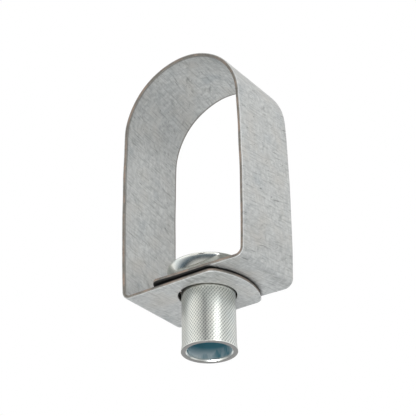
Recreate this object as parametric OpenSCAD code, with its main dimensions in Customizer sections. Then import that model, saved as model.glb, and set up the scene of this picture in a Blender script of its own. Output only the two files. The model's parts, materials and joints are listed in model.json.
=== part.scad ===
// Swivel loop hanger: a bent strap that carries a pipe, and a loose knurled nut that takes the rod.
// Origin: on the nut's axis, level with the outside face of the outer plate. +Z runs to the arch,
// X across the loop, Y along the pipe. All lengths are in millimetres, all angles in degrees.

/* [Strap] */
// Width of the strip, along the pipe
strip_w = 23; // [16:0.5:32]
// Thickness of the strip
strip_t = 1; // [0.8:0.1:1.5]
// Outside width of the loop at the ends of the arch
loop_w = 39; // [32:0.5:60]
// Height of the arch's centre over the outside face of the outer plate
arch_z = 50.3; // [36:0.1:80]
// How far each leg bows outwards, as the slope at its ends
leg_bow = 2.3; // [1:0.1:4]
// Outside radius of the bend between a leg and its plate
bend_r = 2.6; // [2:0.1:5]

/* [Plates] */
// Gap between the two plates at the inner plate's bend
plate_gap = 0.4; // [0.2:0.05:1]
// Spring-open angle of the inner plate, which widens the gap towards its free end
plate_rise = 1.6; // [0:0.1:3]
// Reach of each plate's free end past the hole's axis
nose_reach = 12.9; // [11:0.1:16]
// Radius of the rounded end of each plate
nose_r = 19.8; // [16:0.1:40]
// Radius of the two corners of that end
corner_r = 2.7; // [1:0.1:4]

/* [Nut] */
// Diameter over the knurled barrel
barrel_d = 14.2; // [13:0.1:18]
// Clearance all round the barrel in the two holes
hole_play = 0.65; // [0.4:0.05:1]
// Share of that clearance that the loose nut takes up towards the inner plate's leg
play_taken = 0.45; // [0:0.05:0.8]
// Length of the barrel below the outside face of the outer plate
barrel_drop = 16; // [10:0.5:24]
// Radius of the ball-shaped seat under the head
seat_ball_r = 12; // [11.5:0.1:16]
// Widest diameter of the head
head_d = 21.6; // [19:0.1:22.4]
// Radius of the rounded rim of the head
rim_r = 0.6; // [0.3:0.05:1]
// Radius of the shallow crown on top of the head
crown_r = 40; // [25:1:80]
// Standing clearance between the ball seat and the edge of the hole
seat_gap = 0.06; // [0.02:0.01:0.2]

/* [Nut mouth] */
// How far the lip stands out from the barrel, all round
lip_flare = 0.25; // [0:0.05:0.5]
// Length over which the barrel widens into the lip
flare_len = 2; // [1:0.1:3]
// Radius of the lip's rounded outer edge
lip_r = 0.6; // [0.3:0.05:0.8]

/* [Rod hole] */
// Wall diameter of the tapped length, the tap drill of the rod's thread
tap_d = 8.5; // [6.8:0.1:10.2]
// Diameter of the plain entry below the thread
entry_d = 11.6; // [10.3:0.1:12]
// Depth of the plain entry from the mouth
entry_depth = 9.6; // [5:0.1:11]
// Width of the chamfer at the mouth, and at the top of the thread
rod_chamfer = 0.4; // [0.2:0.05:0.8]
// Included angle of the cone between the entry and the thread
entry_cone = 120; // [90:5:140]

/* [Hidden] */

arch_r = loop_w / 2;
half_w = strip_w / 2;
inner_z = strip_t + plate_gap;
bend_x = (arch_r - bend_r) * cos(leg_bow);

barrel_r = barrel_d / 2;
hole_r = barrel_r + hole_play;
nut_shift = play_taken * hole_play;

// Height of the inner plate's top face at a distance x from the hole's axis
inside_r = bend_r - strip_t;
function inner_top(x) = inner_z + bend_r - inside_r * cos(plate_rise)
    + (bend_x - x - inside_r * sin(plate_rise)) * tan(plate_rise);

// The ball seat stands on whichever side of the hole's edge it meets first
head_r = head_d / 2;
ball_z = seat_gap + max([for (side = [-1, 1])
    inner_top(side * hole_r) + sqrt(pow(seat_ball_r, 2) - pow(hole_r - side * nut_shift, 2))]);
rim_x = head_r - rim_r;
rim_z = ball_z - sqrt(pow(seat_ball_r - rim_r, 2) - pow(rim_x, 2));
crown_z = rim_z - sqrt(pow(crown_r - rim_r, 2) - pow(rim_x, 2));

mouth_z = -barrel_drop;
lip_out = barrel_r + lip_flare;
tap_r = tap_d / 2;
tap_top = crown_z + sqrt(pow(crown_r, 2) - pow(tap_r, 2));
entry_r = entry_d / 2;
entry_top = mouth_z + entry_depth;
cone_top = entry_top + (entry_r - tap_r) / tan(entry_cone / 2);

ROUND = 180;   // facets a turn on the curves
FINE = 256;    // facets a turn on the very large ones
FAR = 100;     // past everything else

function polar(r, a) = [r * cos(a), r * sin(a)];

// Everything between two directions, seen from one point, less than half a turn apart
module fan(from, a1, a2, reach = FAR) {
    polygon([from, from + polar(reach, a1), from + polar(2 * reach, (a1 + a2) / 2), from + polar(reach, a2)]);
}

// Everything inside one side of the loop, seen along the pipe, when its outline is drawn in by
// inset: the arch, a bowed leg, its bend, and the plate that climbs by rise degrees to the left
module side_inside(foot_z, rise, inset) {
    leg_top = arch_z + arch_r * sin(leg_bow);
    leg_foot = foot_z + bend_r - bend_r * sin(leg_bow);
    leg_r = (leg_top - leg_foot) / (2 * sin(leg_bow));
    leg_mid = [(arch_r - leg_r) * cos(leg_bow), (leg_top + leg_foot) / 2];
    bend_mid = [bend_x, foot_z + bend_r];
    translate([0, arch_z]) circle(arch_r - inset, $fn = ROUND);
    intersection() {
        translate(leg_mid) circle(leg_r - inset, $fn = FINE);
        fan(leg_mid, -leg_bow, leg_bow, 2 * leg_r);
        translate([-inset, 0]) square(FAR);
    }
    translate(bend_mid) circle(bend_r - inset, $fn = ROUND);
    translate(bend_mid) rotate(-rise)
        translate([-loop_w - inset, inset - bend_r]) square([loop_w + inset, 2 * bend_r + inset]);
}

// The strip of one side, which ends at the top of the arch and runs past the end of its plate
module side_profile(foot_z, rise) {
    difference() {
        side_inside(foot_z, rise, 0);
        side_inside(foot_z, rise, strip_t);
        translate([-2 * FAR, foot_z + 2 * bend_r - strip_t]) square([2 * FAR, 2 * FAR]);
    }
}

// Plan of a plate, with its free end to the right: an arc with two rounded corners
module plate_plan() {
    arc_x = nose_reach - nose_r;
    ease_y = half_w - corner_r;
    ease_x = arc_x + sqrt(pow(nose_r - corner_r, 2) - pow(ease_y, 2));
    lean = atan2(ease_y, ease_x - arc_x);
    difference() {
        intersection() {
            translate([-FAR, -half_w]) square([2 * FAR, strip_w]);
            union() {
                translate([arc_x, 0]) circle(nose_r, $fn = ROUND);
                translate([arc_x - FAR, -half_w]) square([FAR, strip_w]);
            }
        }
        for (side = [-1, 1]) difference() {
            fan([ease_x, side * ease_y], side * lean, side * 90);
            translate([ease_x, side * ease_y]) circle(corner_r, $fn = ROUND);
        }
    }
}

// One half of the strap, the one whose plate reaches to the left
module half_strap(foot_z, rise) {
    difference() {
        rotate([90, 0, 0]) linear_extrude(strip_w, center = true) side_profile(foot_z, rise);
        // On this level there is only the plate, which ends at its nose
        translate([0, 0, foot_z + 2 * bend_r - FAR]) linear_extrude(FAR) difference() {
            translate([-FAR, -FAR]) square([FAR, 2 * FAR]);
            mirror([1, 0]) plate_plan();
        }
    }
}

module strap_loop() {
    color("lightgray") translate([-nut_shift, 0, 0]) difference() {
        union() {
            half_strap(inner_z, plate_rise);
            mirror([1, 0, 0]) half_strap(0, 0);
        }
        cylinder(h = FAR, r = hole_r, center = true, $fn = ROUND);
    }
}

// Half outline of the head: the ball seat below, the crown above, and the rim between them
module head_outline() {
    rim = [rim_x, rim_z];
    difference() {
        intersection() {
            translate([0, ball_z]) circle(seat_ball_r, $fn = ROUND);
            translate([0, crown_z]) circle(crown_r, $fn = FINE);
            translate([0, -FAR]) square([FAR, 2 * FAR]);
        }
        fan(rim, atan2(rim_z - ball_z, rim_x), atan2(rim_z - crown_z, rim_x));
    }
    translate(rim) circle(rim_r, $fn = ROUND);
}

// Half outline of the barrel, which widens into a rounded lip
module barrel_outline() {
    lip_z = mouth_z + lip_r;
    polygon([
        [0, mouth_z], [lip_out - lip_r, mouth_z], [lip_out - lip_r, lip_z], [lip_out, lip_z],
        [barrel_r, lip_z + flare_len], [barrel_r, rim_z], [0, rim_z]
    ]);
    translate([lip_out - lip_r, lip_z]) circle(lip_r, $fn = ROUND);
}

// Half outline of the hole for the rod, from below the mouth to above the head
module rod_hole_outline() {
    polygon([
        [0, mouth_z - 1], [entry_r + rod_chamfer + 1, mouth_z - 1], [entry_r, mouth_z + rod_chamfer],
        [entry_r, entry_top], [tap_r, cone_top], [tap_r, tap_top - rod_chamfer],
        [tap_r + rod_chamfer + 1, tap_top + 1], [0, tap_top + 1]
    ]);
}

module swivel_nut() {
    color("silver") rotate_extrude($fn = ROUND) difference() {
        union() {
            head_outline();
            barrel_outline();
        }
        rod_hole_outline();
    }
}

strap_loop();
swivel_nut();
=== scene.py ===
"""A swivel loop pipe hanger: one bent, pre-galvanised strip and the knurled nut that turns in it.

Every shape is worked out in millimetres on grids of two parameters and becomes metres when its mesh
is made. The sizes that the CAD model states, such as the pipe seat and the rod thread, are read from
the frame; the rest are the maker's own sizes, named in each class.
"""

import json
import logging
import math
from dataclasses import dataclass, field
from enum import Enum

import bmesh
import bpy
import numpy as np
from mathutils import Matrix, Vector


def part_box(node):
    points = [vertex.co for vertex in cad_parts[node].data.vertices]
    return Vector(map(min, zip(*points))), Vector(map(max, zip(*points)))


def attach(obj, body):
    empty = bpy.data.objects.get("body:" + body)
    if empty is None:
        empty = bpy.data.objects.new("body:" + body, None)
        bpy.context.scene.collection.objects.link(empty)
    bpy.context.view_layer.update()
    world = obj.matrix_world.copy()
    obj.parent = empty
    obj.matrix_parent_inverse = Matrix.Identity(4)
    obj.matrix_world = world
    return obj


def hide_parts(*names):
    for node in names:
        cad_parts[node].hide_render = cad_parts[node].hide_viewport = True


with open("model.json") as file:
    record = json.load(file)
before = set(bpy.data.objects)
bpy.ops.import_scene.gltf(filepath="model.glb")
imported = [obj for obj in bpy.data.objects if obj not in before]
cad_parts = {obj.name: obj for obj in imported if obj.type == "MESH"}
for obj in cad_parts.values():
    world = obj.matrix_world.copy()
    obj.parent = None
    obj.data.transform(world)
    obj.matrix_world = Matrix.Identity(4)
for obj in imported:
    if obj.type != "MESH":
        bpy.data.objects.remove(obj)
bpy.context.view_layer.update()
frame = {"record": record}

LOG = logging.getLogger("swivel_hanger")
MM = 0.001
WELD = 0.002 * MM

HOLE_PLAY = 0.65

Array = np.ndarray
Socket = bpy.types.NodeSocket
Colour = tuple[float, float, float]
Triple = tuple[float, float, float]
Span = tuple[float, float]


# ---------------------------------------------------------------- measures read from the frame


def mount(name: str) -> dict[str, float]:
    """Finds one of the record's mounts.

    Args:
        name: The mount's name.

    Returns:
        The mount, with its place as x, y, z and its sizes, all in millimetres.
    """
    found = next(m for m in frame["record"]["mounts"] if m["name"] == name)
    x, y, z = (value / MM for value in found["pos_m"])
    return {"x": x, "y": y, "z": z, "radius": found["dims"]["r_mm"], "length": found["dims"]["length_mm"]}


def node_box(name: str) -> tuple[Array, Array]:
    """Gives a CAD node's lowest and highest corners, in millimetres."""
    low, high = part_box(name)
    return np.array(low) / MM, np.array(high) / MM


# ---------------------------------------------------------------- grids and meshes


@dataclass
class Patch:
    """A grid of the skin: places in millimetres and named values, one for each vertex."""

    places: Array
    values: dict[str, Array] = field(default_factory=dict)
    faceted: bool = False
    closed_columns: bool = False

    def corners(self) -> Array:
        """Numbers the corners of the grid's quads.

        Returns:
            One row of four vertex numbers for each quad. A closed direction joins its last line to
            its first.
        """
        rows, columns = self.places.shape[:2]
        number = np.arange(rows * columns).reshape(rows, columns)
        if self.closed_columns:
            number = np.hstack([number, number[:, :1]])
        quads = [number[:-1, :-1], number[1:, :-1], number[1:, 1:], number[:-1, 1:]]
        return np.stack(quads, -1).reshape(-1, 4)


def ridge_triangles(quads: Array, heights: Array) -> Array:
    """Splits quads into triangles along the higher of their two diagonals, so that ridges stay sharp.

    Args:
        quads: Four vertex numbers a row.
        heights: The height of each vertex over the groove bottoms.

    Returns:
        Three vertex numbers a row, two rows for each quad.
    """
    a, b, c, d = quads.T
    straight = (heights[a] + heights[c] >= heights[b] + heights[d])[:, None]
    first = np.where(straight, np.stack([a, b, c], -1), np.stack([a, b, d], -1))
    second = np.where(straight, np.stack([a, c, d], -1), np.stack([b, c, d], -1))
    return np.vstack([first, second])


def put_in_scene(name: str, data: bpy.types.ID) -> bpy.types.Object:
    """Makes an object that holds the data and links it to the scene."""
    made = bpy.data.objects.new(name, data)
    bpy.context.scene.collection.objects.link(made)
    return made


def make_skin(name: str, patches: list[Patch], crease: float) -> bpy.types.Object:
    """Joins patches into one closed shell with its faces outward.

    Args:
        name: The piece's name.
        patches: The grids, which meet point for point along their shared borders.
        crease: The angle in radians over which an edge stays sharp.

    Returns:
        The piece, at the origin, with its place in its mesh.
    """
    places = np.vstack([p.places.reshape(-1, 3) for p in patches]) * MM
    faces: list[list[int]] = []
    smooth: list[bool] = []
    start = 0
    for patch in patches:
        quads = patch.corners() + start
        if patch.faceted:
            heights = np.concatenate([np.zeros(start), patch.values["crest"].ravel()])
            quads = ridge_triangles(quads, heights)
        faces += quads.tolist()
        smooth += [not patch.faceted] * len(quads)
        start += patch.places.shape[0] * patch.places.shape[1]
    mesh = bpy.data.meshes.new(name)
    mesh.from_pydata(places, [], faces)
    mesh.polygons.foreach_set("use_smooth", smooth)
    for key in sorted(patches[0].values):
        single = patches[0].values[key].ndim == 2
        flat = np.concatenate([p.values[key].ravel() for p in patches]).astype(np.float32)
        layer = mesh.attributes.new(key, "FLOAT" if single else "FLOAT_VECTOR", "POINT")
        layer.data.foreach_set("value" if single else "vector", flat)
    shell = bmesh.new()
    shell.from_mesh(mesh)
    bmesh.ops.remove_doubles(shell, verts=shell.verts, dist=WELD)
    bmesh.ops.recalc_face_normals(shell, faces=shell.faces)
    if shell.calc_volume(signed=True) < 0:
        bmesh.ops.reverse_faces(shell, faces=shell.faces)
    open_edges = sum(1 for edge in shell.edges if len(edge.link_faces) != 2)
    volume = shell.calc_volume() / MM**3
    shell.to_mesh(mesh)
    shell.free()
    mesh.set_sharp_from_angle(angle=crease)
    piece = put_in_scene(name, mesh)
    LOG.info("%s: %d faces, %.1f mm3, %d open edges", name, len(mesh.polygons), volume, open_edges)
    return piece


def soft_step(value: Array, low: float, high: float) -> Array:
    """Rises smoothly from 0 at low to 1 at high, as 3t squared less 2t cubed."""
    t = np.clip((value - low) / (high - low), 0, 1)
    return t * t * (3 - 2 * t)


# ---------------------------------------------------------------- procedural finishes


class NodeKind(Enum):
    """The shader nodes that the finishes are wired from."""

    ATTRIBUTE = "ShaderNodeAttribute"
    COORDINATES = "ShaderNodeTexCoord"
    MAPPING = "ShaderNodeMapping"
    NOISE = "ShaderNodeTexNoise"
    CELLS = "ShaderNodeTexVoronoi"
    RAMP = "ShaderNodeValToRGB"
    MIX = "ShaderNodeMix"
    MATHS = "ShaderNodeMath"
    SPLIT = "ShaderNodeSeparateXYZ"
    BUMP = "ShaderNodeBump"


@dataclass(frozen=True)
class Lines:
    """Marks drawn out into lines: their turn in radians from the first axis, how many blotches a unit
    holds along and across them, and the noise values at which they begin and are full."""

    turn: float
    along: float
    across: float
    faint: float
    full: float


class Recipe:
    """Wires one procedural material, node by node, from left to right."""

    def __init__(self, name: str) -> None:
        """Starts a material that holds only its shader and its output."""
        self.material = bpy.data.materials.new(name)
        self.material.use_nodes = True
        self.tree = self.material.node_tree
        self.shader = self.tree.nodes["Principled BSDF"]

    def node(self, kind: NodeKind, **inputs: object) -> bpy.types.Node:
        """Adds a node.

        Args:
            kind: Which node.
            **inputs: Its inputs by name, each a constant or another node's output.

        Returns:
            The new node.
        """
        made = self.tree.nodes.new(kind.value)
        for key, value in inputs.items():
            self.feed(made.inputs[key.replace("_", " ")], value)
        return made

    def feed(self, target: Socket, value: object) -> None:
        """Links an output to an input, or sets the input to a constant."""
        if isinstance(value, bpy.types.NodeSocket):
            self.tree.links.new(value, target)
        else:
            target.default_value = value

    def attribute(self, name: str) -> bpy.types.Node:
        """Reads one of the piece's own vertex values."""
        made = self.node(NodeKind.ATTRIBUTE)
        made.attribute_name = name
        return made

    def noise(self, place: Socket, scale: float, detail: float = 3, roughness: float = 0.55) -> Socket:
        """Gives fractal noise, from 0 to 1, with about scale blotches in each unit of place."""
        return self.node(
            NodeKind.NOISE, Vector=place, Scale=scale, Detail=detail, Roughness=roughness
        ).outputs["Fac"]

    def drawn(self, place: Socket, scale: Triple, detail: float = 2, roughness: float = 0.6) -> Socket:
        """Gives noise drawn out unevenly, with scale blotches for each unit of place on each axis."""
        pulled = self.node(NodeKind.MAPPING, Vector=place, Scale=scale)
        return self.noise(pulled.outputs[0], 1, detail, roughness)

    def lines(self, place: Socket, kind: Lines) -> Socket:
        """Gives how far a kind of line marks each place, from 0 to 1."""
        turned = self.node(NodeKind.MAPPING, Vector=place, Rotation=(0, 0, kind.turn))
        drawn = self.drawn(turned.outputs[0], (kind.along, kind.across, 1))
        return self.ramp(drawn, kind.faint, kind.full)

    def ramp(self, value: Socket, low: float, high: float) -> Socket:
        """Gives 0 below low, 1 above high and a straight rise between them; high may be the lower."""
        made = self.node(NodeKind.RAMP, Fac=value)
        first, last = made.color_ramp.elements
        rising = low <= high
        first.position, last.position = min(low, high), max(low, high)
        shades = ((0, 0, 0, 1), (1, 1, 1, 1))
        first.color, last.color = shades if rising else shades[::-1]
        return made.outputs["Color"]

    def blend(self, share: object, first: object, second: object, mode: str = "MIX") -> Socket:
        """Mixes two colours: share 0 gives the first, and 1 the second or its product with the first."""
        made = self.node(NodeKind.MIX)
        made.data_type = "RGBA"
        made.blend_type = mode
        for number, value in ((0, share), (6, first), (7, second)):
            self.feed(made.inputs[number], (*value, 1) if isinstance(value, tuple) else value)
        return made.outputs[2]

    def maths(self, rule: str, first: object, second: object = 0.0) -> Socket:
        """Works out one arithmetic step."""
        made = self.node(NodeKind.MATHS)
        made.operation = rule
        self.feed(made.inputs[0], first)
        self.feed(made.inputs[1], second)
        return made.outputs[0]

    def times(self, first: object, second: object) -> Socket:
        """Multiplies two values."""
        return self.maths("MULTIPLY", first, second)

    def less(self, first: object, second: object) -> Socket:
        """Takes the second value from the first."""
        return self.maths("SUBTRACT", first, second)

    def between(self, share: Socket, low: float, high: float) -> Socket:
        """Carries a share from 0 to 1 onto a value from low to high."""
        return self.maths("ADD", self.times(share, high - low), low)

    def bump(
        self, height: Socket, distance: float, strength: float, normal: Socket | None = None
    ) -> Socket:
        """Tilts the surface by a height of up to distance millimetres.

        Args:
            height: The height, from 0 to 1.
            distance: What a height of 1 stands for, in millimetres.
            strength: How much of it shows, from 0 to 1.
            normal: The normal that it is added to, if there is one.

        Returns:
            The tilted normal.
        """
        made = self.node(NodeKind.BUMP, Height=height, Distance=distance * MM, Strength=strength)
        if normal is not None:
            self.feed(made.inputs["Normal"], normal)
        return made.outputs["Normal"]

    def finish(self, **inputs: object) -> bpy.types.Material:
        """Feeds the shader's own inputs, named with _ for a space, and gives the material."""
        for key, value in inputs.items():
            self.feed(self.shader.inputs[key.replace("_", " ")], value)
        return self.material


@dataclass(frozen=True)
class GalvanisedStrip:
    """Pre-galvanised strip: dull mottled zinc, fine slanting scuffs and bare, browned sheared edges."""

    zinc: Colour = (0.60, 0.61, 0.595)
    dull_zinc: Colour = (0.425, 0.435, 0.43)
    warm_zinc: Colour = (0.54, 0.53, 0.50)
    spangle: Colour = (0.62, 0.64, 0.65)
    cloud_tint: Colour = (0.86, 0.88, 0.90)
    scuff: Colour = (0.15, 0.155, 0.15)
    bare_steel: Colour = (0.27, 0.18, 0.13)
    dark_steel: Colour = (0.10, 0.085, 0.07)
    cut_tint: Colour = (0.66, 0.64, 0.60)
    gap_shade_colour: Colour = (0.012, 0.011, 0.010)
    edge_highlight: Colour = (0.84, 0.86, 0.87)
    rim_shade_line: Colour = (0.20, 0.19, 0.17)
    fine_grain: Lines = Lines(math.radians(97), 0.20, 2.0, 0.52, 0.30)
    long_grain: Lines = Lines(math.radians(7), 0.20, 1.8, 0.50, 0.30)
    scuffs: Lines = Lines(math.radians(-78), 0.14, 1.5, 0.40, 0.32)
    nicks: Lines = Lines(math.radians(-52), 0.5, 1.5, 0.34, 0.28)
    rubs: Lines = Lines(math.radians(-52), 0.16, 0.42, 0.62, 0.74)
    spangle_share: float = 0.10
    long_grain_share: float = 0.6
    grain_share: float = 0.40
    mark_share: float = 0.70
    rub_share: float = 0.45
    brown_share: float = 0.72
    edge_highlight_share: float = 0.4
    rim_shade_share: float = 0.8
    rim_from: float = 10.85
    tear_reach: float = 0.35
    metal: float = 0.5
    roughness: Span = (0.40, 0.52)

    def material(self) -> bpy.types.Material:
        """Wires the finish on the strip's own flat coordinates, in millimetres.

        Returns:
            The material. Mottling and marks share the colour, roughness and bump; the sheared edges
            go brown where the cut broke through the zinc.
        """
        made = Recipe("galvanised_strip")
        blank = made.attribute("blank").outputs["Vector"]
        mottle = made.noise(blank, 0.8, 5, 0.62)
        marks = self.marks(made, blank)
        colour = made.blend(marks, self.mottled(made, blank, mottle), self.scuff)
        rubbed = made.times(made.lines(blank, self.rubs), self.rub_share)
        colour = made.blend(rubbed, colour, self.scuff)
        # Painted shade: the zinc is darkened towards black round the listed spots along the strip.
        tone = made.attribute("tone").outputs["Fac"]
        colour = made.blend(made.less(1.0, tone), colour, (0.0, 0.0, 0.0))
        bared, colour = self.sheared(made, blank, colour)
        # Painted shade: the faces in the gap between the plates are darkened nearly to black, and made
        # rougher and less metallic.
        sheltered = made.attribute("sheltered").outputs["Fac"]
        colour = made.blend(sheltered, colour, self.gap_shade_colour)
        rough = made.between(made.ramp(mottle, 0.3, 0.7), *self.roughness)
        rough = made.maths("ADD", rough, made.times(made.maths("MAXIMUM", bared, sheltered), 0.3))
        metal = made.less(self.metal, made.times(bared, 0.4))
        metal = made.times(metal, made.less(1.0, sheltered))
        normal = made.bump(mottle, 0.03, 0.35)
        normal = made.bump(made.noise(blank, 5.5, 3, 0.6), 0.008, 0.5, normal)
        normal = made.bump(made.less(1.0, marks), 0.015, 0.6, normal)
        return made.finish(Base_Color=colour, Metallic=metal, Roughness=rough, Normal=normal)

    def mottled(self, made: Recipe, blank: Socket, mottle: Socket) -> Socket:
        """Colours the clean zinc: small mottling, larger warm and cool clouds, and faint spangles.

        Args:
            made: The recipe that it is wired in.
            blank: The place on the flat blank.
            mottle: The small mottling, from 0 to 1.

        Returns:
            The colour.
        """
        clouds = made.noise(blank, 0.11, 3, 0.5)
        cells = made.node(NodeKind.CELLS, Vector=blank, Scale=0.42, Randomness=1.0).outputs["Color"]
        spangles = made.times(made.ramp(cells, 0.2, 0.9), self.spangle_share)
        colour = made.blend(made.ramp(mottle, 0.34, 0.64), self.dull_zinc, self.zinc)
        colour = made.blend(made.ramp(clouds, 0.50, 0.72), colour, self.warm_zinc)
        colour = made.blend(spangles, colour, self.spangle)
        return made.blend(made.ramp(clouds, 0.42, 0.30), colour, self.cloud_tint, "MULTIPLY")

    def marks(self, made: Recipe, blank: Socket) -> Socket:
        """Gives how far rolling grain, scuffs and nicks darken each place of the blank, from 0 to 1."""
        worn = made.ramp(made.noise(blank, 0.13, 3), 0.42, 0.60)
        long_grain = made.times(made.lines(blank, self.long_grain), self.long_grain_share)
        grain = made.maths("MAXIMUM", made.lines(blank, self.fine_grain), long_grain)
        scuffs = made.times(made.lines(blank, self.scuffs), worn)
        marks = made.maths("MAXIMUM", scuffs, made.lines(blank, self.nicks))
        grain, marks = made.times(grain, self.grain_share), made.times(marks, self.mark_share)
        return made.maths("MAXIMUM", grain, marks)

    def sheared(self, made: Recipe, blank: Socket, colour: Socket) -> tuple[Socket, Socket]:
        """Dresses the sheared edges, from their rolled-over rim down to the torn, browned steel, with a
        painted highlight on the rim and a painted shade line beside the inner face's edge.

        Args:
            made: The recipe that it is wired in.
            blank: The place on the flat blank.
            colour: The strip's colour so far.

        Returns:
            How far each place is bared, from 0 to 1, and the new colour.
        """
        sheared = made.attribute("sheared").outputs["Fac"]
        split = made.node(NodeKind.SPLIT, Vector=blank)
        side, depth = made.maths("ABSOLUTE", split.outputs["Y"]), split.outputs["Z"]
        wander = made.between(made.noise(blank, 0.35, 4), -self.tear_reach, self.tear_reach)
        torn = made.ramp(made.maths("ADD", depth, wander), 0.22, 0.50)
        bared = made.times(torn, made.ramp(sheared, 0.35, 0.8))
        bared = made.times(bared, made.ramp(depth, 0.97, 0.86))
        patchy = made.ramp(made.noise(blank, 0.3, 4), 0.42, 0.62)
        brown = made.blend(patchy, self.dark_steel, self.bare_steel)
        edge_tint_and_shade = made.blend(made.ramp(sheared, 0.3, 0.9), colour, self.cut_tint, "MULTIPLY")
        # Painted highlight: a pale line along the rolled-over rim of each sheared edge.
        rolled = made.times(made.ramp(sheared, 0.0, 0.12), made.ramp(depth, 0.26, 0.12))
        edge_tint_and_shade = made.blend(made.times(rolled, self.edge_highlight_share), edge_tint_and_shade, self.edge_highlight)
        # Painted shade: a dark line on the inner face just inside each side edge.
        beside = made.ramp(made.less(side, self.rim_from), 0.0, 0.2)
        beside = made.times(beside, made.ramp(depth, 0.90, 0.97))
        edge_tint_and_shade = made.blend(made.times(beside, self.rim_shade_share), edge_tint_and_shade, self.rim_shade_line)
        return bared, made.blend(made.times(bared, self.brown_share), edge_tint_and_shade, brown)


@dataclass(frozen=True)
class BrightZinc:
    """Bright zinc plate: a cool mirror that goes duller in the knurl, with painted shade in the pits, on
    the mouth ring and down the bore, where it turns dark teal.

    Its heights are in metres, as its coordinates are, and its scales are blotches in each metre.
    """

    plate: Colour = (0.84, 0.85, 0.80)
    cool_plate: Colour = (0.74, 0.78, 0.76)
    warm_plate: Colour = (0.82, 0.80, 0.70)
    pit_shade: Colour = (0.27, 0.29, 0.28)
    bore: Colour = (0.92, 0.96, 0.96)
    deep_bore_shade: Colour = (0.10, 0.29, 0.36)
    lip: Colour = (0.20, 0.185, 0.18)
    head_foot: float = 2.4 * MM
    lip_top: float = -15.92 * MM
    bore_light: float = -15.2 * MM
    bore_dark: float = -12.2 * MM
    tint_scale: float = 160
    patch_scale: float = 700
    ring_scale: Triple = (40, 40, 4200)
    streak_scale: Triple = (300, 300, 110)
    turning: Lines = Lines(0.0, 60, 60, 0.5, 0.7)
    turning_share: float = 0.5
    lip_shade_share: float = 0.8
    roughness: Span = (0.15, 0.21)
    barrel_dulling: float = 0.14
    bore_dulling: float = 0.10

    def material(self) -> bpy.types.Material:
        """Wires the finish on object coordinates and on the nut's own zone values.

        Returns:
            The material. Slow tints run over the plate, turning marks go round it, and the knurl's
            pits and the bore have their own shades.
        """
        made = Recipe("bright_zinc")
        place = made.node(NodeKind.COORDINATES).outputs["Object"]
        patches = made.noise(place, self.patch_scale, 3, 0.6)
        tint = made.ramp(made.noise(place, self.tint_scale, 2, 0.5), 0.38, 0.64)
        colour = made.blend(tint, self.cool_plate, self.plate)
        turning = made.times(made.lines(place, self.turning), self.turning_share)
        colour = made.blend(turning, colour, self.warm_plate)
        crest = made.attribute("crest").outputs["Fac"]
        inside = made.attribute("inside").outputs["Fac"]
        # Painted shade: the knurl's pits are darkened so that the crossing lines stand out bright.
        colour = made.blend(made.ramp(crest, 0.85, 0.1), colour, self.pit_shade)
        height = made.node(NodeKind.SPLIT, Vector=place).outputs["Z"]
        # Painted shade with a warm tint: below the lip's top the mouth ring is coloured a dark warm grey,
        # much darker than the plate.
        lip = made.maths("LESS_THAN", height, self.lip_top)
        colour = made.blend(made.times(lip, self.lip_shade_share), colour, self.lip)
        # Painted shade: the bore goes from pale near the mouth to dark teal deeper in, broken by noise
        # streaks of the dark shade that stand in for the bore's streaked reflections.
        sunk = made.less(height, self.bore_light)
        deep = made.ramp(made.maths("DIVIDE", sunk, self.bore_dark - self.bore_light), 0.0, 1.0)
        runs = made.ramp(made.drawn(place, self.streak_scale, 3, 0.55), 0.66, 0.36)
        bore_shading = made.blend(made.maths("MAXIMUM", deep, runs), self.bore, self.deep_bore_shade)
        colour = made.blend(inside, colour, bore_shading)
        rough = made.between(made.ramp(patches, 0.35, 0.7), *self.roughness)
        barrel = made.times(made.maths("LESS_THAN", height, self.head_foot), self.barrel_dulling)
        hidden = made.times(made.maths("MAXIMUM", inside, lip), self.bore_dulling)
        rough = made.maths("ADD", made.maths("ADD", rough, barrel), hidden)
        metal = made.less(1.0, made.times(inside, 0.5))
        normal = made.bump(made.drawn(place, self.ring_scale), 0.004, 0.35)
        normal = made.bump(patches, 0.01, 0.25, normal)
        return made.finish(Base_Color=colour, Metallic=metal, Roughness=rough, Normal=normal)


# ---------------------------------------------------------------- the bent strip


@dataclass(frozen=True)
class RoundStretch:
    """A stretch of the strip whose outer face follows a circle, between two angles of its normal."""

    middle: tuple[float, float]
    radius: float
    first: float
    last: float

    @property
    def length(self) -> float:
        """The stretch's length on its outer face."""
        return self.radius * (self.last - self.first)

    def place(self, run: Array, depth: Array) -> tuple[Array, Array]:
        """Gives x and z: the middle plus the radius less the depth, at the angle first + run / radius."""
        angle = self.first + run / self.radius
        reach = self.radius - depth
        return self.middle[0] + reach * np.cos(angle), self.middle[1] + reach * np.sin(angle)


@dataclass(frozen=True)
class FlatStretch:
    """A straight stretch of the strip, from a start point along a heading."""

    start: tuple[float, float]
    heading: float
    length: float

    def place(self, run: Array, depth: Array) -> tuple[Array, Array]:
        """Gives x and z: the start, plus run along the heading, plus depth square to it, inwards."""
        c, s = math.cos(self.heading), math.sin(self.heading)
        return self.start[0] + run * c - depth * s, self.start[1] + run * s + depth * c


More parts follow.
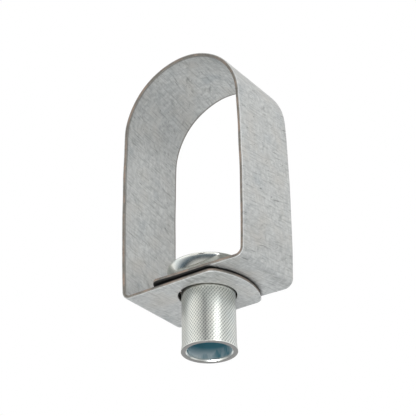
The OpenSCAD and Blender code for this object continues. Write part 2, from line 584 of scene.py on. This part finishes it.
@dataclass
class StripLoop:
    """The strap: a strip with round-nosed ends, bent so that its two ends lap over each other.

    The inner plate is the one that reaches left; the right leg, the arch and the left leg carry on
    from it, and the outer plate reaches right under it. One hole goes through both plates.
    """

    width: float
    thickness: float
    arch_radius: float
    arch_height: float
    shift: float
    hole_radius: float
    bend_radius: float = 2.6
    leg_bow: float = math.radians(2.3)
    plate_gap: float = 0.4
    plate_rise: float = math.radians(1.6)
    nose_reach: float = 12.9
    nose_radius: float = 19.8
    corner_radius: float = 2.7
    ring_reach: float = 10.6
    roll_over: float = 0.24
    burr: float = 0.07
    break_slope: float = 0.03
    sheet_step: float = 0.55
    bend_step: float = 0.26
    rings: int = 9
    side_points: int = 22
    corner_points: int = 10
    nose_points: int = 30
    ripple_height: float = 0.035
    ripples: tuple[Triple, ...] = ((0.31, 0.17, 0.0), (0.53, -0.40, 1.3), (0.12, 0.61, 2.1))
    edge_ripple: float = 0.42
    gap_shade_edge: Span = (-0.25, 0.55)
    shade_spots: tuple[tuple[int, float, float, float], ...] = (
        (1, 0.5, 2.2, 0.08),
        (3, 0.14, 5.0, 0.06),
        (2, 0.12, 4.5, 0.10),
        (3, 0.84, 8.0, 0.16),
        (5, 0.5, 9.0, 0.08),
    )

    def stretches(self) -> list[RoundStretch | FlatStretch]:
        """Lists the strip's stretches from the inner plate's hole to the outer plate's hole."""
        right = self.half(self.thickness + self.plate_gap, self.plate_rise)
        left = self.half(0.0, 0.0)
        bow = self.leg_bow
        arch = RoundStretch((0.0, self.arch_height), self.arch_radius, bow, math.pi - bow)
        mirrored = []
        for stretch in reversed(left[1:]):
            middle = (-stretch.middle[0], stretch.middle[1])
            mirrored.append(
                RoundStretch(middle, stretch.radius, math.pi - stretch.last, math.pi - stretch.first)
            )
        plate = FlatStretch((-left[0].length, 0.0), 0.0, left[0].length)
        return [*right, arch, *mirrored, plate]

    def half(self, foot: float, rise: float) -> list[RoundStretch | FlatStretch]:
        """Works out the plate, bend and leg of the side that stands at positive x.

        Args:
            foot: The height of the plate's underside where its bend begins.
            rise: How steeply the plate climbs away from the bend.

        Returns:
            The plate from its hole to the bend, the bend and the leg.
        """
        bow, bend = self.leg_bow, self.bend_radius
        middle = ((self.arch_radius - bend) * math.cos(bow), foot + bend)
        top = self.arch_height + self.arch_radius * math.sin(bow)
        low = foot + bend - bend * math.sin(bow)
        radius = (top - low) / (2 * math.sin(bow))
        leg_middle = ((self.arch_radius - radius) * math.cos(bow), (top + low) / 2)
        square = -math.pi / 2 - rise
        end = (middle[0] + bend * math.cos(square), middle[1] + bend * math.sin(square))
        length = end[0] / math.cos(rise)
        start = (0.0, end[1] + length * math.sin(rise))
        return [
            FlatStretch(start, -rise, length),
            RoundStretch(middle, bend, square, -bow),
            RoundStretch(leg_middle, radius, -bow, bow),
        ]

    def bend_blank(self, along: Array, across: Array, depth: Array) -> Array:
        """Carries points of the flat blank onto the bent strip.

        Args:
            along: Distance from the inner plate's hole along the outer face.
            across: Distance from the strip's centre line.
            depth: Depth below the outer face.

        Returns:
            Their places. The blank is first given slow ripples: the depth changes by the mean of
            the ripples' sine waves, each with its turns along, across and its start, and the edges
            wander by a sine wave that grows with the cube of across.
        """
        stretches = self.stretches()
        ends = np.cumsum([stretch.length for stretch in stretches])
        index = np.clip(np.searchsorted(ends, along), 0, len(stretches) - 1)
        starts = ends - np.array([stretch.length for stretch in stretches])
        waves = sum(np.sin(a * along + b * across + c) for a, b, c in self.ripples)
        sunk = depth + self.ripple_height * waves / len(self.ripples)
        x, z = np.zeros_like(along), np.zeros_like(along)
        for number, stretch in enumerate(stretches):
            here = index == number
            x[here], z[here] = stretch.place(along[here] - starts[number], sunk[here])
        share = across / (self.width / 2)
        y = across + self.ripple_height * np.sin(self.edge_ripple * along + share) * share**3
        return np.stack([x - self.shift, y, z], -1)

    def length(self) -> float:
        """Gives the distance from hole to hole along the outer face."""
        return sum(stretch.length for stretch in self.stretches())

    def edge_profile(self) -> tuple[Array, Array, Array]:
        """Works out the section of a sheared edge, from the outer face to the inner one.

        Returns:
            How far each point lies inside the cut's outline, its depth, and how much it counts as
            sheared. A quarter circle rolls over, the cut runs straight and then leans in where the
            metal broke, and a small quarter circle is left by the burr.
        """
        turn = np.linspace(0, np.pi / 2, 6)
        roll_in, roll_down = self.roll_over * (1 - np.sin(turn)), self.roll_over * (1 - np.cos(turn))
        burr_in = self.burr * (1 - np.sin(turn[::-1])) + self.break_slope
        burr_down = self.thickness - self.burr * (1 - np.cos(turn[::-1]))
        straight = np.array([0.4, 0.6]) * self.thickness
        lean = np.array([0.0, 0.6]) * self.break_slope
        inset = np.concatenate([roll_in, lean, burr_in])
        depth = np.concatenate([roll_down, straight, burr_down])
        sheared = soft_step(np.minimum(depth / 0.2, (self.thickness - depth) / 0.05 + 0.35), 0, 1)
        return inset[:, None], depth[:, None], sheared[:, None]

    def outline(self, inset: Array) -> tuple[Array, Array]:
        """Draws a plate's outline, set in by a distance, from one side round the nose to the other.

        Args:
            inset: Distances inside the cut outline, one a row.

        Returns:
            Distance from the hole towards the nose, and across. The sides are straight, the corners
            and the nose are arcs with shared middles at every inset.
        """
        half = self.width / 2
        nose_middle = self.nose_reach - self.nose_radius
        corner_y = half - self.corner_radius
        corner_x = nose_middle + math.sqrt((self.nose_radius - self.corner_radius) ** 2 - corner_y**2)
        meet = math.atan2(corner_y, corner_x - nose_middle)
        side = np.linspace(-self.ring_reach, corner_x, self.side_points)[:-1]
        corner = np.linspace(-np.pi / 2, -meet, self.corner_points)[:-1]
        nose = np.linspace(-meet, meet, self.nose_points)
        corner_reach, nose_reach = self.corner_radius - inset, self.nose_radius - inset
        ones = np.ones_like(inset)
        forward = [ones * side, corner_x + corner_reach * np.cos(corner)]
        sideways = [-(half - inset) * np.ones_like(side), -corner_y + corner_reach * np.sin(corner)]
        forward += [nose_middle + nose_reach * np.cos(nose)]
        sideways += [nose_reach * np.sin(nose)]
        forward += [forward[1][:, ::-1], forward[0][:, ::-1]]
        sideways += [-sideways[1][:, ::-1], -sideways[0][:, ::-1]]
        return np.concatenate(forward, 1), np.concatenate(sideways, 1)

    def across_line(self, inset: float) -> Array:
        """Spaces points evenly across the strip between its sides, set in by a distance."""
        reach = self.width / 2 - inset
        return np.linspace(-reach, reach, int(self.width / self.sheet_step) + 1)

    def patch(self, along: Array, across: Array, depth: Array, sheared: Array) -> Patch:
        """Makes a patch of the bent strip from blank coordinates and how sheared each point is."""
        along, across, depth, sheared = np.broadcast_arrays(along, across, depth, sheared)
        values = {
            "blank": np.stack([along, across, depth], -1),
            "sheared": sheared,
            "tone": self.tone(along),
            "sheltered": self.sheltered(along, across, depth),
        }
        return Patch(self.bend_blank(along, across, depth), values)

    def tone(self, along: Array) -> Array:
        """Gives the painted shade along the strip: it is darker round a few spots on the bends, the arch
        and a leg.

        Args:
            along: Distance from the inner plate's hole.

        Returns:
            1, less a bell curve round each shaded spot, which is given as its stretch's number, its
            share of that stretch, its spread in millimetres and its fall.
        """
        lengths = [stretch.length for stretch in self.stretches()]
        ends = np.cumsum(lengths)
        shade = np.ones_like(along)
        for number, share, spread, fall in self.shade_spots:
            middle = ends[number - 1] + share * lengths[number]
            shade = shade - fall * np.exp(-(((along - middle) / spread) ** 2))
        return shade

    def sheltered(self, along: Array, across: Array, depth: Array) -> Array:
        """Gives how far a point is hidden in the gap between the two plates, where shade is painted.

        Args:
            along: Distance from the inner plate's hole.
            across: Distance from the strip's centre line.
            depth: Depth below the outer face.

        Returns:
            1 on the two faces that meet, inside the other plate's nose circle, and 0 elsewhere.
        """
        nose_middle = self.nose_reach - self.nose_radius
        total = self.length()
        faces = []
        for run in (along, total - along):
            within = self.nose_radius - np.hypot(run - nose_middle, across)
            faces.append(soft_step(within, *self.gap_shade_edge))
        on_inner = faces[0] * (along < total / 2) * (depth < 0.30 * self.thickness)
        on_outer = faces[1] * (along > total / 2) * (depth > 0.80 * self.thickness)
        return on_inner + on_outer

    def plate_patches(self, hole: float, way: float) -> list[Patch]:
        """Skins one plate round its hole.

        Args:
            hole: Where the hole's axis is along the blank.
            way: 1 where the nose lies further along the blank, or -1.

        Returns:
            Both faces, as rings blended from the hole's circle to the outline, then the hole's wall
            and the nose's edge.
        """
        inset, depth, sheared = self.edge_profile()
        share = np.linspace(0, 1, self.rings)[:, None]
        angle = None
        patches = []
        for row in (0, -1):
            forward, sideways = (line[0] for line in self.outline(inset[row : row + 1 or None]))
            line = self.across_line(inset[row, 0])[::-1]
            forward = np.concatenate([forward, np.full(len(line) - 1, -self.ring_reach)])
            sideways = np.concatenate([sideways, line[1:]])
            angle = np.arctan2(sideways, forward) if angle is None else angle
            reach = self.hole_radius + inset[row, 0]
            x = (1 - share) * reach * np.cos(angle) + share * forward
            y = (1 - share) * reach * np.sin(angle) + share * sideways
            ends = np.zeros((self.rings, 1))
            ends[[0, -1]] = sheared[row]
            patches.append(self.patch(hole + way * x, y, depth[row] + 0 * x, ends + 0 * x))
            if row == 0:
                wall = self.hole_radius + inset
                along, across = hole + way * wall * np.cos(angle), wall * np.sin(angle)
                patches.append(self.patch(along, across, depth, sheared))
        forward, sideways = self.outline(inset)
        patches.append(self.patch(hole + way * forward, sideways, depth, sheared))
        return patches

    def band_patches(self) -> list[Patch]:
        """Skins the strip between its two plates: both faces, on even grids, and both sheared sides."""
        inset, depth, sheared = self.edge_profile()
        first, last = self.ring_reach, self.length() - self.ring_reach
        ends = np.cumsum([stretch.length for stretch in self.stretches()])[:-1]
        stops = np.concatenate([[first], ends[(ends > first) & (ends < last)], [last]])
        runs = []
        for start, stop in zip(stops[:-1], stops[1:]):
            step = self.bend_step if stop - start < 2 * self.bend_radius else self.sheet_step
            runs.append(np.linspace(start, stop, int((stop - start) / step) + 2)[:-1])
        along = np.concatenate([*runs, [last]])
        patches = []
        for row in (0, -1):
            line = self.across_line(inset[row, 0])
            edge = np.zeros(len(line))
            edge[[0, -1]] = sheared[row, 0]
            patches.append(self.patch(along[:, None], line[None], depth[row], edge[None]))
        for side in (-1, 1):
            reach = side * (self.width / 2 - inset)
            patches.append(self.patch(along[None], reach, depth, sheared))
        return patches

    def build(self, finish: GalvanisedStrip) -> bpy.types.Object:
        """Makes the strap and dresses it.

        Args:
            finish: The strip's finish.

        Returns:
            The piece, which stands for the CAD node strap_loop.
        """
        inner, outer = self.plate_patches(0.0, -1.0), self.plate_patches(self.length(), 1.0)
        piece = make_skin("bent_strip", inner + self.band_patches() + outer, math.radians(40))
        piece.data.materials.append(finish.material())
        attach(piece, "strap")
        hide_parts("strap_loop")
        return piece


# ---------------------------------------------------------------- the swivel nut


@dataclass
class SwivelNut:
    """The nut: a knurled, internally threaded barrel under a rounded head that seats on the strap.

    Its skin is one closed section turned round the axis. The radius then drops into the diamond
    knurl outside and into the helical thread inside.
    """

    head_radius: float
    mouth: float
    tap_radius: float
    entry_radius: float
    thread_top: float = 8.342
    barrel_radius: float = 7.1
    seat_foot: float = 2.44
    seat_radius: float = 12.0
    seat_centre: float = 12.116
    rim_radius: float = 0.6
    rim_height: float = 7.025
    crown_radius: float = 40.0
    crown_chamfer: float = 0.36
    crown_points: int = 16
    rim_points: int = 14
    seat_points: int = 22
    lip_radius: float = 0.15
    lip_flare: float = 0.25
    flare_length: float = 2.0
    mouth_chamfer: float = 0.4
    mouth_rounding: float = 0.3
    rounding_start: float = 0.12
    rounding_stop: float = 0.09
    bore_from: Span = (0.2, 1.0)
    entry_top: float = -6.4
    cone_slope: float = math.tan(math.radians(60))
    thread_pitch: float = 1.5
    thread_depth: float = 0.75
    thread_rows: int = 8
    knurl_depth: float = 0.06
    knurl_power: float = 1.3
    weaker_line: float = 0.72
    knurl_top: float = -0.2
    knurl_foot: float = -15.75
    columns: int = 208
    row_ratio: float = 1.22

    @property
    def thread_foot(self) -> float:
        """The height where the cone over the entry bore meets the tapped bore."""
        return self.entry_top + (self.entry_radius - self.tap_radius) / self.cone_slope

    @property
    def lip_start(self) -> tuple[float, float]:
        """The radius and height where the flared barrel runs into the round lip, square to its slope."""
        turn = -math.atan2(self.lip_flare, self.flare_length)
        middle = self.barrel_radius + self.lip_flare - self.lip_radius
        height = self.mouth + self.lip_radius + self.lip_radius * math.sin(turn)
        return middle + self.lip_radius * math.cos(turn), height

    @property
    def step(self) -> float:
        """The knurl's row height: a quarter of a tooth's width, stretched as the diamonds are tall."""
        return self.row_ratio * 2 * math.pi * self.barrel_radius / self.columns

    @property
    def turns(self) -> Array:
        """The angle of each column round the axis, in radians."""
        return np.arange(self.columns) * 2 * math.pi / self.columns

    @staticmethod
    def arc(middle: Span, radius: float, first: float, last: float, count: int) -> Array:
        """Gives count points of radius and height round a circle, between two angles in degrees."""
        angle = np.radians(np.linspace(first, last, count))
        return np.stack([middle[0] + radius * np.cos(angle), middle[1] + radius * np.sin(angle)], -1)

    @staticmethod
    def line(start: Span, stop: Span, count: int) -> Array:
        """Gives count points of radius and height evenly along a straight line."""
        return np.linspace(start, stop, count)

    def head_section(self) -> Array:
        """Draws the section of the crown, the rim and the ball seat, from the bore to the barrel."""
        rim = (self.head_radius - self.rim_radius, self.rim_height)
        crown_reach = self.crown_radius - self.rim_radius
        crown_middle = self.rim_height - math.sqrt(crown_reach**2 - rim[0] ** 2)
        hole = self.tap_radius + self.crown_chamfer
        crown_first = math.degrees(math.acos(hole / self.crown_radius))
        crown_last = math.degrees(math.atan2(rim[1] - crown_middle, rim[0]))
        seat_first = math.degrees(math.atan2(rim[1] - self.seat_centre, rim[0]))
        seat_last = -math.degrees(math.acos(self.barrel_radius / self.seat_radius))
        crown = (0, crown_middle), self.crown_radius, crown_first, crown_last, self.crown_points
        seat = (0, self.seat_centre), self.seat_radius, seat_first, seat_last, self.seat_points
        rounded = self.arc(rim, self.rim_radius, crown_last, seat_first, self.rim_points)
        return np.vstack([self.arc(*crown)[:-1], rounded[:-1], self.arc(*seat)])

    def mouth_section(self) -> Array:
        """Draws the section of the flared lip, the chamfered mouth and the plain entry bore."""
        lip_out = self.barrel_radius + self.lip_flare - self.lip_radius
        lip_height = self.mouth + self.lip_radius
        chamfer = self.mouth_chamfer
        flare_turn = -math.degrees(math.atan2(self.lip_flare, self.flare_length))
        inner = self.entry_radius + chamfer
        lip = self.arc((lip_out, lip_height), self.lip_radius, flare_turn, -90, self.rim_points)
        start, stop, turn = self.rounding_start, self.rounding_stop, self.mouth_rounding
        bore_foot = (self.entry_radius, self.mouth + chamfer)
        return np.vstack([
            lip[:-1],
            self.line(tuple(lip[-1]), (inner + start, self.mouth), 4)[:-1],
            self.arc((inner + start, self.mouth + turn), turn, -90, -135, 5)[:-1],
            self.line((inner - stop, self.mouth + stop), bore_foot, 4)[:-1],
            self.line(bore_foot, (self.entry_radius, self.entry_top), 30),
        ])

    def knurl(self, turn: Array, height: Array) -> Array:
        """Works out the knurl's crest height, from 0 in a diamond's pit to 1 on the crossing lines.

        Args:
            turn: Columns round the barrel, four to a tooth.
            height: Rows down the barrel, four to a tooth.

        Returns:
            The higher of two ridges that wind opposite ways, raised to a power that narrows them. A
            ridge falls from 1 on its line by twice the distance, in teeth, from that line, and one
            set of ridges was pressed less deep than the other.
        """
        one = 1 - 2 * np.abs(((turn + height) / 4) % 1 - 0.5)
        other = 1 - 2 * np.abs(((turn - height) / 4) % 1 - 0.5)
        return np.maximum(one, other * self.weaker_line) ** self.knurl_power

    def thread(self, turn: Array, height: Array) -> Array:
        """Works out the thread's share of its depth, from 0 at the crest to 1 at the root.

        Args:
            turn: Angle round the bore, in radians.
            height: Height above the thread's foot, in millimetres.

        Returns:
            A helical wave, flat for an eighth of the pitch at its crest and its root and straight
            between them, which fades in and out over half a pitch at the ends.
        """
        phase = (height / self.thread_pitch - turn / (2 * math.pi)) % 1
        flank = np.clip((np.abs(2 * phase - 1) - 0.125) / 0.75, 0, 1)
        length = self.thread_top - self.thread_foot
        fade = soft_step(height, 0, self.thread_pitch / 2)
        return (1 - flank) * fade * soft_step(length - height, 0, self.thread_pitch / 2)

    def turned(self, section: Array, inside: float = 0.0) -> Patch:
        """Turns a section round the axis.

        Args:
            section: Rows of radius and height.
            inside: How far it counts as the inside of the bore.

        Returns:
            The patch: x and y are the radius times the cosine and sine of the turn.
        """
        radius, height = section[:, :1] + 0 * self.turns, section[:, 1:] + 0 * self.turns
        return self.wrap(radius, height, np.ones_like(radius), False, inside)

    def wrap(self, radius: Array, height: Array, crest: Array, faceted: bool, inside: float) -> Patch:
        """Makes a patch from a radius, a height and a crest value for each row and column."""
        places = np.stack([radius * np.cos(self.turns), radius * np.sin(self.turns), height], -1)
        values = {"crest": crest, "inside": np.full_like(radius, inside)}
        return Patch(places, values, faceted, closed_columns=True)

    def knurled_patch(self) -> Patch:
        """Skins the barrel: the knurl drops in by its depth times 1 less the crest, faded at its ends."""
        foot_radius, foot = self.lip_start
        rows = np.arange(int((self.seat_foot - foot) / self.step) + 2)
        height = np.maximum(self.seat_foot - rows * self.step, foot)
        flare_top = self.mouth + self.lip_radius + self.flare_length
        flare = np.clip((flare_top - height) / (flare_top - foot), 0, 1)
        base = self.barrel_radius + (foot_radius - self.barrel_radius) * flare
        crest = self.knurl(np.arange(self.columns)[None], rows[:, None])
        fade = soft_step(self.knurl_top - height, 0, 0.5) * soft_step(height - self.knurl_foot, 0, 0.15)
        crest = 1 - (1 - crest) * fade[:, None]
        radius = base[:, None] - self.knurl_depth * (1 - crest)
        return self.wrap(radius, height[:, None] + 0 * radius, crest, True, 0.0)

    def bore_patches(self) -> list[Patch]:
        """Skins the tapped bore, from the cone over the entry to the chamfer at the crown."""
        length = self.thread_top - self.thread_foot
        count = int(length / self.thread_pitch * self.thread_rows) + 1
        height = np.linspace(self.thread_foot, self.thread_top, count)[:, None]
        sunk = self.thread_depth * self.thread(self.turns[None], height - self.thread_foot)
        radius = self.tap_radius + sunk
        crown = (self.tap_radius + self.crown_chamfer, float(self.head_section()[0, 1]))
        cone = self.line((self.entry_radius, self.entry_top), (self.tap_radius, self.thread_foot), 6)
        chamfer = self.line((self.tap_radius, self.thread_top), crown, 4)
        tapped = self.wrap(radius, height + 0 * radius, np.ones_like(radius), False, 1.0)
        return [self.turned(cone, inside=1.0), tapped, self.turned(chamfer)]

    def build(self, finish: BrightZinc) -> bpy.types.Object:
        """Makes the nut and dresses it.

        Args:
            finish: The nut's finish.

        Returns:
            The piece, which stands for the CAD node swivel_nut.
        """
        patches = [self.turned(self.head_section()), self.knurled_patch()]
        lip = self.turned(self.mouth_section())
        x, y, z = np.moveaxis(lip.places, -1, 0)
        in_bore = np.hypot(x, y) < self.entry_radius + 0.05
        lip.values["inside"] = soft_step(z - self.mouth, *self.bore_from) * in_bore
        patches += [lip, *self.bore_patches()]
        piece = make_skin("knurled_nut", patches, math.radians(32))
        piece.data.materials.append(finish.material())
        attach(piece, "nut")
        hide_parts("swivel_nut")
        return piece


# ---------------------------------------------------------------- the studio


@dataclass(frozen=True)
class SoftLight:
    """A soft rectangular light: where it hangs round the object, its size in metres and its power."""

    name: str
    azimuth: float
    elevation: float
    distance: float
    size: tuple[float, float]
    power: float
    colour: Colour = (1.0, 1.0, 1.0)


@dataclass
class Studio:
    """The camera, the soft lights, the dark card, the pale floor and the surround."""

    azimuth: float = 35.364
    elevation: float = -29.53
    roll: float = -1.065
    distance: float = 372.5
    aim: Triple = (0.352, 0.0, 26.295)
    lens: float = 119.11
    sensor: float = 36.0
    clip: Span = (0.01, 20)
    floor_drop: float = 800.0
    floor_size: float = 12000.0
    room_shades: tuple[Triple, ...] = (
        (0.0, 0.20, 0.0),
        (0.09, 0.30, 0.0),
        (0.115, 0.74, 0.0),
        (0.18, 0.62, 0.0),
        (0.235, 0.03, 0.5),
        (0.29, 0.10, 0.4),
        (0.42, 1.06, 0.0),
        (0.55, 0.70, 0.0),
        (0.75, 0.80, 0.0),
        (1.0, 0.64, 0.0),
    )
    lights: tuple[SoftLight, ...] = (
        SoftLight("key", 69, 12, 0.62, (0.22, 0.95), 1.25),
        SoftLight("low_front", 12, -60, 0.50, (0.30, 0.10), 1.45),
        SoftLight("far_low", 212, -34, 0.70, (0.95, 0.60), 0.8),
        SoftLight("right_low", 118, -26, 0.70, (0.70, 0.60), 0.6),
        SoftLight("left_fill", -40, 24, 0.70, (0.60, 0.60), 0.4),
        SoftLight("far_right", 148, 32, 0.70, (0.70, 0.50), 0.2),
        SoftLight("top", 20, 78, 0.80, (0.60, 0.60), 0.6),
    )
    flag: SoftLight = SoftLight("dark_flag", 18, 24, 0.45, (0.13, 0.60), 0.0, (0.20, 0.20, 0.21))

    @staticmethod
    def outward(azimuth: float, elevation: float) -> Vector:
        """Gives the direction from the object to a place round it; azimuth 0 is at negative y."""
        a, e = math.radians(azimuth), math.radians(elevation)
        return Vector((math.sin(a) * math.cos(e), -math.cos(a) * math.cos(e), math.sin(e)))

    def place_camera(self) -> None:
        """Puts the camera at its distance from the aim, upright but for a slight roll."""
        back = self.outward(self.azimuth, self.elevation)
        turn, roll = math.radians(self.azimuth), math.radians(self.roll)
        level = Vector((math.cos(turn), math.sin(turn), 0))
        rise = back.cross(level)
        c, s = math.cos(roll), math.sin(roll)
        right, up = c * level + s * rise, -s * level + c * rise
        data = bpy.data.cameras.new("camera")
        data.lens, data.sensor_width = self.lens, self.sensor
        data.clip_start, data.clip_end = self.clip
        camera = put_in_scene("camera", data)
        turned = Matrix((right, up, back)).transposed().to_4x4()
        camera.matrix_world = Matrix.Translation((Vector(self.aim) + back * self.distance) * MM) @ turned
        bpy.context.scene.camera = camera

    def hang_lights(self) -> None:
        """Hangs each light, facing the object's middle."""
        middle = Vector(self.aim) * MM
        for light in self.lights:
            data = bpy.data.lights.new(light.name, "AREA")
            data.shape = "RECTANGLE"
            data.size, data.size_y = light.size
            data.energy, data.color = light.power, light.colour
            lamp = put_in_scene(light.name, data)
            back = self.outward(light.azimuth, light.elevation)
            facing = back.to_track_quat("Z", "Y").to_matrix().to_4x4()
            lamp.matrix_world = Matrix.Translation(middle + back * light.distance) @ facing
            lamp.visible_camera = False

    def hang_flag(self) -> None:
        """Hangs a dark card that only the metal sees, to draw the barrel's darker stripe."""
        corners = np.array([(-1, -1, 0), (1, -1, 0), (1, 1, 0), (-1, 1, 0)]) * (*self.flag.size, 0)
        back = self.outward(self.flag.azimuth, self.flag.elevation)
        turned = np.array(back.to_track_quat("Z", "Y").to_matrix())
        places = corners / 2 @ turned.T + np.array(Vector(self.aim) * MM + back * self.flag.distance)
        mesh = bpy.data.meshes.new(self.flag.name)
        mesh.from_pydata(places, [], [(0, 1, 2, 3)])
        dark = Recipe("dark_card")
        mesh.materials.append(dark.finish(Base_Color=(*self.flag.colour, 1.0), Roughness=1.0))
        card = put_in_scene(self.flag.name, mesh)
        card.visible_camera = card.visible_shadow = card.visible_diffuse = False

    def lay_floor(self) -> None:
        """Lays a plain pale floor well below the object."""
        half = self.floor_size / 2
        corners = np.array([(-half, -half), (half, -half), (half, half), (-half, half)])
        places = np.column_stack([corners, np.full(4, -self.floor_drop)]) * MM
        mesh = bpy.data.meshes.new("floor")
        mesh.from_pydata(places, [], [(0, 1, 2, 3)])
        pale = Recipe("pale_floor")
        place = pale.node(NodeKind.COORDINATES).outputs["Object"]
        shade = pale.blend(pale.noise(place, 3, 2), (0.84, 0.84, 0.84), (0.88, 0.88, 0.88))
        mesh.materials.append(pale.finish(Base_Color=shade, Roughness=0.9))
        floor = put_in_scene("floor", mesh)
        floor.visible_glossy = floor.visible_diffuse = floor.visible_shadow = False

    def set_surround(self) -> None:
        """Makes a white backdrop, and a softly graded room for the metal to reflect."""
        scene = bpy.context.scene
        scene.view_settings.view_transform = "Standard"
        world = bpy.data.worlds.new("studio")
        scene.world = world
        world.use_nodes = True
        nodes, links = world.node_tree.nodes, world.node_tree.links
        nodes.clear()
        place, split, lift, ramp, room, backdrop, path, mix, output = (
            nodes.new(f"ShaderNode{kind}")
            for kind in (
                "TexCoord", "SeparateXYZ", "MapRange", "ValToRGB", "Background", "Background",
                "LightPath", "MixShader", "OutputWorld",
            )
        )
        lift.inputs["From Min"].default_value = -1.0
        stops = ramp.color_ramp.elements
        for position, shade, cool in self.room_shades:
            stop = stops.new(position)
            stop.color = (shade, shade * (1 + cool), shade * (1 + 2 * cool), 1)
        stops.remove(stops[0])
        stops.remove(stops[-1])
        backdrop.inputs["Color"].default_value = (1, 1, 1, 1)
        for source, target in (
            (place.outputs["Generated"], split.inputs[0]),
            (split.outputs["Z"], lift.inputs["Value"]),
            (lift.outputs["Result"], ramp.inputs["Fac"]),
            (ramp.outputs["Color"], room.inputs["Color"]),
            (path.outputs["Is Camera Ray"], mix.inputs["Fac"]),
            (room.outputs[0], mix.inputs[1]),
            (backdrop.outputs[0], mix.inputs[2]),
            (mix.outputs[0], output.inputs["Surface"]),
        ):
            links.new(source, target)


def main() -> None:
    """Builds the studio and both pieces in order."""
    logging.basicConfig(level=logging.INFO, format="%(message)s")
    studio = Studio()
    studio.place_camera()
    studio.hang_lights()
    studio.hang_flag()
    studio.lay_floor()
    studio.set_surround()
    seat, entry, tap = mount("pipe_seat"), mount("rod_entry"), mount("rod_thread")
    strap_low, strap_high = node_box("strap_loop")
    nut_low, nut_high = node_box("swivel_nut")
    thickness = float(strap_high[2]) - seat["z"] - seat["radius"]
    nut = SwivelNut(
        head_radius=float(nut_high[0]),
        mouth=float(nut_low[2]),
        tap_radius=tap["radius"],
        entry_radius=entry["radius"],
    )
    strap = StripLoop(
        width=float(strap_high[1] - strap_low[1]),
        thickness=thickness,
        arch_radius=seat["radius"] + thickness,
        arch_height=seat["z"],
        shift=-seat["x"],
        hole_radius=nut.barrel_radius + HOLE_PLAY,
    )
    LOG.info("strip %.2f x %.2f mm, pipe seat radius %.2f mm", strap.width, thickness, seat["radius"])
    strap.build(GalvanisedStrip())
    nut.build(BrightZinc())


if __name__ == "__main__":
    main()
